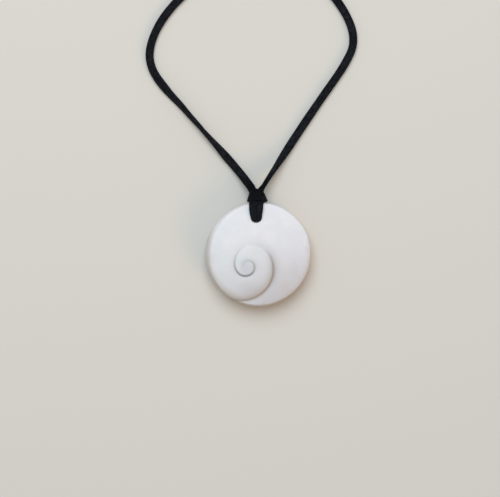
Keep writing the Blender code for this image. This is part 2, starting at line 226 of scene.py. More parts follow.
CURVE_PARTS = 24                # straight parts of a smooth curve between two of its rows


def smooth_rows(rows, spacing):
    """Rows of numbers read at an even spacing from a smooth curve through the given rows."""
    rows = [np.array(row, float) for row in rows]
    dense = []
    for index in range(len(rows) - 1):
        before = rows[max(index - 1, 0)]
        after = rows[min(index + 2, len(rows) - 1)]
        for part in range(CURVE_PARTS):
            dense.append(catmull(before, rows[index], rows[index + 1], after, part / CURVE_PARTS))
    dense = np.array(dense + [rows[-1]])
    steps = np.linalg.norm(np.diff(dense[:, :3], axis=0), axis=1)
    along = np.concatenate(([0.0], np.cumsum(steps)))
    places = np.linspace(0, along[-1], max(2, round(along[-1] / spacing)) + 1)
    return np.column_stack([np.interp(places, along, dense[:, column]) for column in range(dense.shape[1])])


# %% The route: x, y and lift in millimetres, roll in degrees
LEFT_ROUTE = (
    (-3.15, 29.2, 3.6, 0), (-4.95, 31.6, 2.3, 0), (-7.2, 34.6, 1.1, 0), (-10.7, 38.8, 0.2, 10),
    (-14.5, 43.2, 0.0, 40), (-18.3, 47.6, 0.0, 67), (-22.2, 51.9, 0.0, 82), (-26.0, 56.2, 0.0, 95),
    (-29.9, 60.5, 0.0, 103), (-33.7, 64.9, 0.0, 113), (-37.8, 69.2, 0.0, 128), (-41.4, 73.5, 0.0, 155),
    (-44.5, 77.8, 0.0, 175), (-46.5, 82.2, 0.0, 180), (-47.2, 86.9, 0.0, 180), (-46.4, 92.0, 0.0, 180),
    (-44.4, 97.3, 0.0, 180), (-41.3, 102.7, 0.0, 180), (-37.1, 108.1, 0.0, 180),
    (-31.9, 113.4, 0.0, 180), (-25.9, 118.3, 0.0, 180), (-19.5, 122.4, 0.0, 180),
    (-12.2, 125.6, 0.0, 180),
)
RIGHT_ROUTE = (
    (21.8, 123.3, 0.0, 180), (27.0, 119.0, 0.0, 180), (31.8, 114.0, 0.0, 180), (35.8, 108.8, 0.0, 180),
    (38.9, 103.6, 0.0, 180), (41.0, 98.4, 0.0, 180), (41.7, 93.6, 0.0, 180), (41.0, 89.0, 0.0, 180),
    (38.3, 83.4, 0.0, 180), (34.8, 77.8, 0.0, 180), (28.7, 69.1, 0.0, 180), (22.8, 60.5, 0.0, 184),
    (17.0, 51.8, 0.0, 198), (11.4, 43.2, 0.2, 225), (8.4, 38.6, 1.0, 248), (5.7, 34.5, 2.0, 260),
    (3.6, 31.2, 3.0, 264), (2.35, 29.2, 3.6, 266),
)
COIL_CENTRE = (0.0, 148.0)
OUTER_TURN = 21.15              # radius of the first turn
INNER_TURN = 17.5               # radius of the second, which lies inside it
CROSSING_LIFT = 2.15            # over the turns below
COIL_BEARINGS = range(-96, 626, 18)
ENTRY_BEARING = -90             # before it the lace comes in from a little farther out
ENTRY_OFFSET = 0.9
INWARD_BEARING = 130            # where the lace starts to draw in to the second turn
INWARD_TURN = 130               # and for how many degrees
CLIMB_BEARING = 545             # where it starts to climb over the turns on its way out
CLIMB_TURN = 50
EXIT_BEARING = 590              # where it starts to swing out
EXIT_SWING = 0.055              # for each degree
TIE_BEARING = 90                # the tie goes round the far side of the coil
TIE_LIFT = 0.9                  # the lace lies on the tie there
TIE_HUMP = 22                   # half the length of that hump, in degrees
LEAVING = ((6.4, 129.2, CROSSING_LIFT, 180), (11.6, 128.9, 2.0, 180))
CLOSING_KNOT = (17.7, 126.2)
CLOSING_KNOT_LIFT = 1.2
ROUTE_SPACING = 0.8 * MM


def ease(share):
    """0 for a share below 0, 1 above 1, and smooth between."""
    share = min(max(share, 0.0), 1.0)
    return share * share * (3 - 2 * share)


def coil_rows():
    """Two turns anticlockwise, from the near side round to the near side, and out over them."""
    rows = []
    for bearing in COIL_BEARINGS:
        radius = OUTER_TURN + (INNER_TURN - OUTER_TURN) * ease((bearing - INWARD_BEARING) / INWARD_TURN)
        if bearing < ENTRY_BEARING:
            radius += ENTRY_OFFSET
        radius += max(bearing - EXIT_BEARING, 0) * EXIT_SWING
        from_tie = (bearing - TIE_BEARING + 180) % 360 - 180
        over_tie = TIE_LIFT * exp(-(from_tie / TIE_HUMP) ** 2)
        lift = max(over_tie, CROSSING_LIFT * ease((bearing - CLIMB_BEARING) / CLIMB_TURN))
        x = COIL_CENTRE[0] + radius * cos(radians(bearing))
        y = COIL_CENTRE[1] + radius * sin(radians(bearing))
        rows.append((x, y, lift, 180))
    return rows


def whole_route():
    """Every row of the route in metres and radians, from the knot on the shell back to it."""
    rows = [*LEFT_ROUTE, *coil_rows(), *LEAVING, (*CLOSING_KNOT, CLOSING_KNOT_LIFT, 180), *RIGHT_ROUTE]
    return [(x * MM, y * MM, lift * MM, radians(roll)) for x, y, lift, roll in rows]


route = smooth_rows(whole_route(), ROUTE_SPACING)
route[:, 2] = np.maximum(route[:, 2], 0.0)
widths = [width_at(index * ROUTE_SPACING) for index in range(len(route))]
route[:, 2] += [rest_height(roll, width) for roll, width in zip(route[:, 3], widths)]
lace_path = [Vector(row[:3]) for row in route]


def length_of(points):
    return sum((b - a).length for a, b in zip(points, points[1:]))


lace_length = length_of(lace_path)
print(f"the free lace is {lace_length / MM:.0f} mm long, on {len(lace_path)} points")

# %% [markdown]
# ## The lace
#
# A flat lace is a section carried along a line. Blender's curves can do this, but the mesh is made
# ring by ring here, so that it can have a UV map: u runs along the lace and v around it, both in
# metres, and the fibres of the suede follow it. The section is a rounded box. The same helper
# makes the knots, where the lace is squeezed rounder and narrower.

# %% A helper that sweeps a flat section along a path
SECTION_POINTS = 20
SWEEP_EDGE = radians(60)        # edges sharper than this stay crisp


def section_point(angle, width, thickness, squareness):
    """A point of a rounded box: squareness 2 is an ellipse, and more is boxier."""
    c, s = cos(angle), sin(angle)
    x = width / 2 * abs(c) ** (2 / squareness) * (1 if c >= 0 else -1)
    y = thickness / 2 * abs(s) ** (2 / squareness) * (1 if s >= 0 else -1)
    return x, y


def sweep(name, centres, normals, sizes):
    """A lace along centres, each with the normal of its flat side and its width, thickness, squareness."""
    count = len(centres)
    mesh = bmesh.new()
    uv = mesh.loops.layers.uv.new("lace")
    rings, along, travelled = [], [], 0.0
    for index, centre in enumerate(centres):
        ahead = centres[min(index + 1, count - 1)] - centres[max(index - 1, 0)]
        ahead.normalize()
        side = ahead.cross(normals[index]).normalized()
        up = side.cross(ahead).normalized()
        width, thickness, squareness = sizes[index]
        ring = []
        for step in range(SECTION_POINTS):
            x, y = section_point(2 * pi * (step + 0.5) / SECTION_POINTS, width, thickness, squareness)
            ring.append(mesh.verts.new(centre + side * x + up * y))
        if index:
            travelled += (centre - centres[index - 1]).length
        rings.append(ring)
        along.append(travelled)
    around = (LACE_WIDTH + LACE_THICKNESS) * 2 / SECTION_POINTS
    for index in range(count - 1):
        for step in range(SECTION_POINTS):
            following = (step + 1) % SECTION_POINTS
            face = mesh.faces.new((rings[index][step], rings[index][following],
                                   rings[index + 1][following], rings[index + 1][step]))
            places = ((index, step), (index, step + 1), (index + 1, step + 1), (index + 1, step))
            for loop, (row, column) in zip(face.loops, places):
                loop[uv].uv = (along[row], column * around)
    for ring, place in ((rings[0], along[0]), (rings[-1], along[-1])):
        cap = mesh.faces.new(ring)
        for loop in cap.loops:
            loop[uv].uv = (place, 0.0)
    bmesh.ops.recalc_face_normals(mesh, faces=mesh.faces)
    data = bpy.data.meshes.new(name)
    mesh.to_mesh(data)
    mesh.free()
    data.shade_smooth()
    data.set_sharp_from_angle(angle=SWEEP_EDGE)
    made = bpy.data.objects.new(name, data)
    bpy.context.scene.collection.objects.link(made)
    return made


# %% The free lace, with hand-cut edges that are never quite even
def lace_normals(rows):
    """Up, turned about the lace by each row's roll."""
    normals = []
    for index, row in enumerate(rows):
        ahead = Vector(rows[min(index + 1, len(rows) - 1)][:3]) - Vector(rows[max(index - 1, 0)][:3])
        side = ahead.cross(Vector((0, 0, 1))).normalized()
        up = side.cross(ahead).normalized()
        normals.append(up * cos(row[3]) + side * sin(row[3]))
    return normals


lace_sizes = [(width, LACE_THICKNESS, LACE_SQUARENESS) for width in widths]
lace = sweep("lace", lace_path, lace_normals(route), lace_sizes)
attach(lace, "root")
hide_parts("lace_left", "lace_right", "lace_coil")
print(len(lace.data.polygons), "faces in the free lace")

# %% [markdown]
# ## The knot on the shell
#
# This is a lark's head: the middle of the lace goes down through the hole as a loop, comes back
# round the rim, and both strands are pulled through that loop. From the front one sees two
# legs side by side running down the face into the hole, and the loop as a bar across them.
# It is modelled as the lace really runs, in one sweep from the left strand to the right one. Where
# it is squeezed, in the hole and beside it, the section is narrower, thicker and rounder.

# %% The knot's rows: x, y, z, the flat side's normal, then width, thickness and squareness
LEFT_LEG = (                    # the left strand goes under the bar, down the face and through the hole
    (-3.15, 29.2, 4.60, 0.0, 0.0, 1.0, 3.50, 2.0, 4.5),
    (-2.68, 28.35, 5.00, 0.0, 0.3, 1.0, 3.50, 2.0, 4.5),
    (-2.20, 27.2, 5.65, 0.0, 0.5, 1.0, 3.40, 2.0, 4.0),
    (-2.02, 25.6, 6.50, 0.0, 0.7, 1.0, 3.20, 2.0, 3.6),
    (-2.08, 23.8, 8.15, 0.0, 0.8, 1.0, 3.10, 2.0, 3.4),
    (-2.22, 22.3, 9.50, -0.1, 0.6, 1.0, 3.17, 2.1, 3.4),
    (-2.20, 20.8, 10.15, -0.1, 0.3, 1.0, 3.15, 2.2, 3.2),
    (-2.15, 19.0, 10.20, -0.2, 0.1, 1.0, 3.10, 2.2, 3.0),
    (-2.00, 17.2, 10.35, -0.3, -0.2, 1.0, 2.90, 2.3, 2.7),
    (-1.64, 15.40, 9.95, -0.4, -0.7, 0.8, 2.40, 2.6, 2.4),
    (-1.38, 15.10, 8.70, -0.2, -1.0, 0.1, 1.95, 2.6, 2.3),
    (-1.50, 15.35, 6.80, 0.0, -1.0, 0.0, 1.90, 2.7, 2.4),
    (-1.52, 15.55, 4.40, 0.0, -1.0, -0.1, 1.90, 2.7, 2.4),
    (-1.60, 16.1, 2.60, 0.0, -1.0, -0.5, 2.05, 2.3, 2.4),
    (-1.80, 17.4, 1.75, 0.0, -0.4, -1.0, 2.35, 1.9, 2.7),
    (-2.00, 19.2, 2.35, 0.0, 0.4, -1.0, 2.80, 1.8, 3.2),
    (-2.30, 21.0, 2.95, 0.0, 0.2, -1.0, 3.10, 1.8, 3.4),
)
RIGHT_LEG = (                   # the right strand comes in on edge and turns flat under the bar
    (2.35, 29.2, 5.35, 0.85, -0.5, 0.05, 3.50, 2.0, 4.5),
    (1.80, 28.3, 5.50, 0.87, -0.4, 0.25, 3.40, 2.0, 4.5),
    (1.20, 27.1, 5.90, 0.80, -0.1, 0.6, 3.20, 2.0, 4.0),
    (0.86, 25.6, 6.60, 0.3, 0.5, 1.0, 3.10, 2.0, 3.6),
    (0.85, 23.8, 8.20, 0.0, 0.8, 1.0, 3.00, 2.0, 3.4),
    (0.92, 22.3, 9.50, 0.1, 0.6, 1.0, 3.00, 2.1, 3.4),
    (0.88, 20.8, 10.15, 0.1, 0.3, 1.0, 2.95, 2.2, 3.2),
    (0.78, 19.0, 10.20, 0.2, 0.1, 1.0, 2.85, 2.2, 3.0),
    (0.60, 17.4, 10.30, 0.3, -0.1, 1.0, 2.60, 2.3, 2.6),
    (0.46, 15.9, 9.90, 0.4, -0.6, 0.8, 2.42, 2.6, 2.4),
    (0.16, 15.15, 8.70, 0.2, -1.0, 0.1, 2.00, 2.6, 2.3),
    (0.26, 15.4, 6.80, 0.0, -1.0, 0.0, 1.90, 2.7, 2.4),
    (0.28, 15.6, 4.40, 0.0, -1.0, -0.1, 1.90, 2.7, 2.4),
    (0.36, 16.1, 2.60, 0.0, -1.0, -0.5, 2.05, 2.3, 2.4),
    (0.60, 17.5, 1.75, 0.0, -0.4, -1.0, 2.35, 1.9, 2.7),
    (0.80, 19.3, 2.35, 0.0, 0.4, -1.0, 2.80, 1.8, 3.2),
    (1.10, 21.0, 2.95, 0.0, 0.2, -1.0, 3.10, 1.8, 3.4),
)
BAR = (                         # round the left side, over both legs and down the right side
    (-2.50, 22.7, 3.10, -0.2, 0.2, -1.0, 2.80, 1.7, 3.6),
    (-3.10, 24.1, 3.90, -0.8, 0.25, -0.7, 3.40, 1.5, 4.5),
    (-3.50, 24.45, 5.50, -1.0, 0.30, 0.0, 4.10, 1.4, 6.0),
    (-3.50, 24.60, 7.40, -0.95, 0.34, 0.3, 4.50, 1.4, 6.0),
    (-2.85, 24.85, 9.00, -0.6, 0.45, 0.9, 4.40, 1.5, 5.5),
    (-1.60, 25.35, 9.60, -0.1, 0.45, 1.0, 5.10, 1.6, 5.0),
    (-0.40, 25.55, 9.65, 0.0, 0.45, 1.0, 5.50, 1.6, 5.0),
    (0.90, 25.30, 9.60, 0.1, 0.45, 1.0, 5.00, 1.6, 5.0),
    (2.20, 24.85, 9.00, 0.6, 0.45, 0.9, 4.40, 1.5, 5.5),
    (2.85, 24.60, 7.40, 0.95, 0.46, 0.3, 4.50, 1.4, 6.0),
    (2.85, 24.45, 5.50, 1.0, 0.44, 0.0, 4.10, 1.4, 6.0),
    (2.20, 24.1, 3.90, 0.8, 0.30, -0.7, 3.40, 1.5, 4.5),
    (1.40, 22.7, 3.10, 0.2, 0.2, -1.0, 2.80, 1.7, 3.6),
)


KNOT_SPACING = 0.45
HIDDEN_END = (3.36, 1.88, 4.5)  # a little smaller than the free lace, which covers it


def inside_lace(point, leg):
    """A row a little way along the free lace and inside it, so that no joint shows."""
    return (*(point / MM), *leg[0][3:6], *HIDDEN_END)


def knot_rows():
    """All the lace in the knot, in the order in which it runs."""
    start = inside_lace(lace_path[1], LEFT_LEG)
    end = inside_lace(lace_path[-2], RIGHT_LEG)
    return [start, *LEFT_LEG, *BAR, *reversed(RIGHT_LEG), end]


def make_rim_knot():
    rows = smooth_rows(knot_rows(), KNOT_SPACING)
    centres = [Vector(row[:3]) * MM for row in rows]
    normals = [Vector(row[3:6]).normalized() for row in rows]
    sizes = [(row[6] * MM, row[7] * MM, row[8]) for row in rows]
    knot = sweep("rim_knot_lace", centres, normals, sizes)
    print(f"the knot takes {length_of(centres) / MM:.0f} mm of lace")
    return knot


rim_knot = make_rim_knot()
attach(rim_knot, "root")
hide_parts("rim_knot")

# %% [markdown]
# ## The closing knot and the tie
#
# Behind the wearer's neck the two ends of the lace are tied together. A tight overhand knot has a
# short formula, the simplest curve that is really knotted, so the knot is swept along that. The
# tie is a thin cord, wound two and a half times round both turns of the coil.

# %% The closing knot
CLOSING_KNOT_TURN = radians(-36)
CLOSING_KNOT_SCALE = (0.40 * MM, 1.25 * MM, 0.42 * MM)      # along the lace, across it and up
CLOSING_KNOT_HEIGHT = 3.1 * MM
CLOSING_KNOT_SECTION = (2.6 * MM, 1.8 * MM, 3.0)            # pulled tight, so narrower than the lace
CLOSING_KNOT_STEPS = 120
FORMULA_END = 2.02              # the formula's number runs from minus this to this


def closing_knot_path():
    """A knotted curve that comes in on one side of the lump and leaves on the other."""
    along, across, up = CLOSING_KNOT_SCALE
    points = []
    for step in range(CLOSING_KNOT_STEPS + 1):
        t = -FORMULA_END + 2 * FORMULA_END * step / CLOSING_KNOT_STEPS
        x, y, z = (t ** 5 - 10 * t) * along, (t ** 3 - 3 * t) * across, (t ** 4 - 4 * t * t) * up
        points.append(Vector((
            CLOSING_KNOT[0] * MM + x * cos(CLOSING_KNOT_TURN) - y * sin(CLOSING_KNOT_TURN),
            CLOSING_KNOT[1] * MM + x * sin(CLOSING_KNOT_TURN) + y * cos(CLOSING_KNOT_TURN),
            CLOSING_KNOT_HEIGHT + z,
        )))
    return points


closing_path = closing_knot_path()
closing_knot = sweep("closing_knot_lace", closing_path, [Vector((0, 0, 1))] * len(closing_path),
                     [CLOSING_KNOT_SECTION] * len(closing_path))
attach(closing_knot, "root")
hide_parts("closing_knot")
print(f"the closing knot takes {length_of(closing_path) / MM:.0f} mm of lace")

# %% The tie round the coil
TIE_CORD = 0.9 * MM
TIE_TURNS = 2.5
TIE_STEPS = 40                  # for each turn
TIE_PITCH = 1.1                 # from one wrap to the next, for a cord of width 1
TIE_LOOP = (8.6 * MM, 3.0 * MM, 4)      # width, height and squareness of a wrap round both turns
TIE_HEIGHT = 1.95 * MM


def tie_path():
    """A thin cord wound round both turns, each wrap beside the last."""
    middle_radius = (OUTER_TURN + INNER_TURN) / 2
    middle = Vector((COIL_CENTRE[0] * MM, (COIL_CENTRE[1] + middle_radius) * MM, TIE_HEIGHT))
    points = []
    for step in range(int(TIE_TURNS * TIE_STEPS) + 1):
        across, up = section_point(2 * pi * step / TIE_STEPS - pi / 2, *TIE_LOOP)
        shift = (step / TIE_STEPS - TIE_TURNS / 2) * TIE_CORD * TIE_PITCH
        points.append(middle + Vector((shift, across, up)))
    return points


tie_points = tie_path()
coil_tie = sweep("coil_tie_cord", tie_points, [Vector((1, 0, 0))] * len(tie_points),
                 [(TIE_CORD, TIE_CORD, 2.0)] * len(tie_points))
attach(coil_tie, "root")
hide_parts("coil_tie")
print(f"the tie is {length_of(tie_points) / MM:.0f} mm of thin cord")

# %% [markdown]

# %% [markdown]
# ## The shell's shape
#
# The lid is a thick, nearly round disc. Its front is polished almost flat, with a rounded rim.
# Its back is domed with a very small flat at the middle, on which it rests. The spiral is the
# place where each turn of growth meets the last one. Polishing leaves it as a shallow step: the side
# towards the eye falls off steeply to the line, and the other side rises slowly from it.
#
# The formulas are the ones that the measured model was made with, so both surfaces agree.

# %% Sizes of the shell in millimetres
OUTLINE_RADIUS = 22.7
OVALNESS = 0.25
OVAL_TURN = radians(15)
LOPSIDEDNESS = 0.18
LOPSIDED_TURN = radians(-45)
THICKNESS = 10.4
FACE_CURVE = 220.0
GIRTH_HEIGHT = 6.0
RIM_ROUNDING = 0.7
RIM_WALL_LEFT = 1.9             # the rim slopes more gently on the left
RIM_WALL_TURN = radians(172)
RIM_WALL_FADE = 2.5             # how fast that slope fades to both sides
BACK_CURVE = 44.0
SPOT_RADIUS = 5.6
EYE = (-4.46, -5.71)
SPIRAL_START = 270.0            # bearing about the eye where the list begins, in degrees
SPIRAL_STEP = 45.0              # the line turns clockwise by this much from one pair to the next
SPIRAL = (                      # distance from the eye and depth of the line
    (1.05, 0.00), (1.35, 0.03), (1.75, 0.06), (2.20, 0.10), (2.62, 0.15), (2.88, 0.22), (3.07, 0.32),
    (3.32, 0.40), (3.83, 0.45), (4.60, 0.40), (5.45, 0.30), (6.90, 0.12), (9.25, 0.05), (10.60, 0.16),
    (11.20, 0.75), (12.35, 1.00), (14.35, 0.95), (16.60, 0.80), (19.50, 0.80),
)
SHOULDER_WIDTH, SHOULDER_GROWTH, SHOULDER_POWER = 0.50, 0.15, 2.4
FOOT_WIDTH, FOOT_GROWTH, FOOT_POWER = 1.30, 0.11, 1.2
HOLE = (-0.62, 15.6)
HOLE_RADIUS = 2.15
HOLE_LIP = 0.5


# %% Reading the spiral line
def at_station(values, place):
    """Reads a row of evenly spaced values at any place along it."""
    last = len(values) - 1
    index = min(max(int(place), 0), last - 1)
    before = values[max(index - 1, 0)]
    after = values[min(index + 2, last)]
    return catmull(before, values[index], values[index + 1], after, place - index)


def spiral_lines(bearing):
    """Radius, depth and place in the list of each turn of the line that a ray from the eye crosses."""
    lines = []
    for turn in (bearing, bearing - 360, bearing - 720):
        place = (SPIRAL_START - turn) / SPIRAL_STEP
        if 0 <= place <= len(SPIRAL) - 1:
            radius = at_station([pair[0] for pair in SPIRAL], place)
            depth = at_station([pair[1] for pair in SPIRAL], place)
            lines.append((radius, depth, place))
    return lines


def shoulder_width(line):
    return SHOULDER_WIDTH + SHOULDER_GROWTH * line


def groove(distance, line, depth):
    """How far the face dips at a distance outside one turn of the spiral line."""
    shoulder = shoulder_width(line)
    if distance <= -shoulder:
        return 0.0
    if distance < 0:
        return depth * (1 + distance / shoulder) ** SHOULDER_POWER
    foot = FOOT_WIDTH + FOOT_GROWTH * line
    return depth * exp(-(distance / foot) ** FOOT_POWER)


# %% The outline, the face and the back
def outline_radius(bearing):
    oval = OVALNESS * cos(2 * (bearing - OVAL_TURN))
    return OUTLINE_RADIUS + oval + LOPSIDEDNESS * cos(bearing - LOPSIDED_TURN)


def rim_rounding(bearing):
    return RIM_ROUNDING + RIM_WALL_LEFT * max(0.0, cos(bearing - RIM_WALL_TURN)) ** RIM_WALL_FADE


def face_height(x, y):
    """Height of the spiral face over the table."""
    from_eye = sqrt((x - EYE[0]) ** 2 + (y - EYE[1]) ** 2)
    height = THICKNESS - from_eye ** 2 / (2 * FACE_CURVE)
    lines = spiral_lines(degrees(atan2(y - EYE[1], x - EYE[0])))
    height -= max(groove(from_eye - line, line, depth) for line, depth, _ in lines)
    around = atan2(y, x)
    inward = max(outline_radius(around) - sqrt(x * x + y * y), 0.0)
    fall = sqrt(max(0.0, 1 - max(0.0, 1 - inward / rim_rounding(around)) ** 2))
    return GIRTH_HEIGHT + (height - GIRTH_HEIGHT) * fall


def back_height(radius):
    """Height of the domed back over the table, flat on the small spot."""
    flat = BACK_CURVE - sqrt(BACK_CURVE ** 2 - SPOT_RADIUS ** 2)
    return max(0.0, BACK_CURVE - sqrt(BACK_CURVE ** 2 - radius ** 2) - flat)


REACH_ROUNDS = 6                # each round brings the reach closer to the true one


def reach_from_eye(bearing, inward):
    """Length of a ray from the eye to the line that lies inward of the outline."""
    direction = Vector((cos(bearing), sin(bearing)))
    eye = Vector(EYE)
    along = eye.dot(direction)
    around = bearing
    for _ in range(REACH_ROUNDS):
        radius = outline_radius(around) - inward
        reach = -along + sqrt(along ** 2 + radius ** 2 - eye.length_squared)
        point = eye + direction * reach
        around = atan2(point.y, point.x)
    return reach


# %% [markdown]
# The mesh is a ball's rings and rays, moved into place. The top pole goes to the eye of the
# spiral and the bottom pole to the middle of the back. The rings are drawn together where the
# line is, so that the step is cut cleanly while the plain parts of the face stay light.

# %% The shell as a ball's rings moved into place
SEGMENTS = 360
FACE_RINGS = 112
RIM_RINGS = 18
UNDER_RINGS = 12
BACK_RINGS = 37
UNDER_ROUNDING = 2.0
RING_DRAW = 5.0                 # how strongly the line draws the rings together
RING_SHIFT = 0.2                # they gather a little inside the line, in shoulder widths
RAY_SAMPLES = 500


def face_radii(bearing):
    """Distances from the eye of the face's rings on one ray."""
    edge = reach_from_eye(bearing, 0.0)
    point = Vector(EYE) + Vector((cos(bearing), sin(bearing))) * edge
    rounding = rim_rounding(atan2(point.y, point.x))
    radii = np.linspace(0.0, reach_from_eye(bearing, rounding), RAY_SAMPLES)
    weight = np.ones_like(radii)
    for line, depth, _ in spiral_lines(degrees(bearing)):
        shoulder = shoulder_width(line)
        weight += RING_DRAW * depth * np.exp(-((radii - line + RING_SHIFT * shoulder) / shoulder) ** 2)
    total = np.concatenate(([0.0], np.cumsum((weight[1:] + weight[:-1]) / 2)))
    rings = list(np.interp(np.linspace(0, total[-1], FACE_RINGS + 1), total, radii))
    for ring in range(1, RIM_RINGS + 1):
        rings.append(reach_from_eye(bearing, rounding * (1 - sin(pi / 2 * ring / RIM_RINGS))))
    return rings


def under_point(edge, ring):
    """A point of the underside: round from the girth to the back, then in to the spot."""
    around, whole = atan2(edge.y, edge.x), edge.length
    if ring <= UNDER_RINGS:
        angle = pi / 2 * ring / UNDER_RINGS
        radius = whole - UNDER_ROUNDING * (1 - cos(angle))
        back_start = back_height(whole - UNDER_ROUNDING)
        height = GIRTH_HEIGHT + (back_start - GIRTH_HEIGHT) * sin(angle)
    else:
        radius = (whole - UNDER_ROUNDING) * (1 - (ring - UNDER_RINGS) / (BACK_RINGS + 1))
        height = back_height(radius)
    return cos(around) * radius, sin(around) * radius, height


def make_shell_body():
    rings = FACE_RINGS + RIM_RINGS + UNDER_RINGS + BACK_RINGS + 1
    bpy.ops.object.select_all(action="DESELECT")
    bpy.ops.mesh.primitive_uv_sphere_add(segments=SEGMENTS, ring_count=rings, radius=1.0)
    body = bpy.context.object
    body.name = "polished_shell"
    rays = {}
    for vert in body.data.vertices:
        co = vert.co
        ring = round((pi / 2 - atan2(co.z, co.xy.length)) / (pi / rings))
        step = round(atan2(co.y, co.x) / (2 * pi / SEGMENTS)) % SEGMENTS
        bearing = (2 * pi * step / SEGMENTS + pi) % (2 * pi) - pi
        if step not in rays:
            rays[step] = face_radii(bearing)
        if ring == 0:
            place = (*EYE, face_height(*EYE))
        elif ring == rings:
            place = (0.0, 0.0, 0.0)
        elif ring <= FACE_RINGS + RIM_RINGS:
            x = EYE[0] + cos(bearing) * rays[step][ring]
            y = EYE[1] + sin(bearing) * rays[step][ring]
            place = (x, y, face_height(x, y))
        else:
            edge = Vector(EYE) + Vector((cos(bearing), sin(bearing))) * rays[step][-1]
            place = under_point(edge, ring - FACE_RINGS - RIM_RINGS)
        vert.co = Vector(place) * MM
    return body


shell = make_shell_body()
print(len(shell.data.polygons), "faces in the undrilled shell")

# %% [markdown]
# ## The drilled hole
#
# The hole is drilled square through the face, and its edges are eased so that they don't cut the
# lace. A turned cutter that flares at both faces does both at once.

# %% The hole and its eased edges
HOLE_SEGMENTS = 72
LIP_STEPS = 8
CUTTER_FLARE = 0.6              # how much wider than the eased edge the cutter ends
CUTTER_REACH = 1.0              # and how far beyond the shell


def hole_profile(top, bottom):
    """Radius and height of the cutter, from above the face to below the back, in millimetres."""
    wide = HOLE_RADIUS + HOLE_LIP
    angles = [pi / 2 * step / LIP_STEPS for step in range(LIP_STEPS + 1)]
    face_lip = [(wide - HOLE_LIP * sin(a), top - HOLE_LIP * (1 - cos(a))) for a in angles]
    back_lip = [(wide - HOLE_LIP * cos(a), bottom + HOLE_LIP * (1 - sin(a))) for a in angles]
    above = (wide + CUTTER_FLARE, top + CUTTER_REACH)
    below = (wide + CUTTER_FLARE, bottom - CUTTER_REACH)
    return [above, *face_lip, *back_lip, below]


def make_hole_cutter():
    """A ball whose rings take the profile, and follow the slope of both faces."""
    x, y = HOLE
    top, bottom = face_height(x, y), back_height(sqrt(x * x + y * y))
    profile = hole_profile(top, bottom)
    rings = len(profile) + 1
    wide = HOLE_RADIUS + HOLE_LIP
    bpy.ops.object.select_all(action="DESELECT")
    bpy.ops.mesh.primitive_uv_sphere_add(segments=HOLE_SEGMENTS, ring_count=rings, radius=1.0)
    cutter = bpy.context.object
    for vert in cutter.data.vertices:
        ring = round((pi / 2 - atan2(vert.co.z, vert.co.xy.length)) / (pi / rings))
        if ring in (0, rings):
            vert.co = Vector((x, y, top + CUTTER_REACH if ring == 0 else bottom - CUTTER_REACH)) * MM
            continue
        direction = vert.co.xy.normalized()
        radius, height = profile[ring - 1]
        at_edge = Vector(HOLE) + direction * wide
        if ring <= len(profile) / 2:
            height += face_height(at_edge.x, at_edge.y) - top
        else:
            height += back_height(at_edge.length) - bottom
        place = Vector(HOLE) + direction * radius
        vert.co = Vector((place.x, place.y, height)) * MM
    return cutter


SHELL_EDGE = radians(40)        # edges sharper than this stay crisp


def drill(body, cutter):
    """Cuts the hole, deletes the cutter and smooths all but the sharpest edges."""
    bpy.ops.object.select_all(action="DESELECT")
    body.select_set(True)
    bpy.context.view_layer.objects.active = body
    cut = body.modifiers.new("hole", "BOOLEAN")
    cut.operation = "DIFFERENCE"
    cut.solver = "EXACT"
    cut.object = cutter
    bpy.ops.object.modifier_apply(modifier=cut.name)
    bpy.data.objects.remove(cutter)
    bpy.ops.object.shade_smooth_by_angle(angle=SHELL_EDGE)


drill(shell, make_hole_cutter())
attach(shell, "root")
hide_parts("shell")
triangles = sum(len(face.vertices) - 2 for face in shell.data.polygons)
print(triangles, "triangles in the drilled shell")

# %% [markdown]
# ## Where the colours of the shell are
#
# The shell is porcelain white, but not evenly. A little grey-brown dirt and old skin stays
# in the line, where polishing doesn't reach, and more in some stretches than in others. Shade is
# painted beside the line too: a faint grey on the face outside it, for the hollow there and a little
# haze, and a brownish grey on the shoulder inside it, which turns away from the light. This follows
# the spiral, which is easier to work out in Python than in a shader, so each point of the mesh gets
# three numbers: the dirt in the line itself, the painted shade outside it and the painted shade on
# the shoulder inside it.

# %% Numbers on the mesh for the shader
LINE_DIRT = (                   # one number for each pair of the spiral, more than 1 is a wider line
    0.0, 0.10, 0.20, 0.32, 0.36, 0.42, 0.65, 1.05, 1.75, 1.20, 0.7, 0.3, 0.0, 0.0, 0.60, 0.65, 0.42,
    0.35, 0.3,
)
# painted shade in the hollow just outside the line, with a little grey haze
OUTSIDE_SHADE_AND_HAZE = (
    0.0, 0.0, 0.0, 0.0, 0.1, 0.2, 0.3, 0.4, 0.5, 0.5, 0.3, 0.2, 0.2, 0.55, 1.2, 1.05, 1.0, 1.0, 0.8,
)
# painted shade on the shoulder inside the line, which turns away from the light
SHOULDER_SHADE = (*[0.0] * 13, 0.3, 1.1, 1.35, 1.1, 1.0, 0.6)
DIRT_WIDTH, DIRT_GROWTH = 0.33, 0.022
GREY_WIDTH = 2.3
SHOULDER_SHADE_WIDTH = 1.10              # of the shoulder's width
MARKED_FROM = 0.05             # a weaker mark, of dirt or of painted shade, isn't counted


def fading(strengths, place, distance, width):
    """The strength of a mark, of dirt or of painted shade, at this place of the line and this far from it.
    """
    return at_station(strengths, place) * exp(-(distance / width) ** 2)


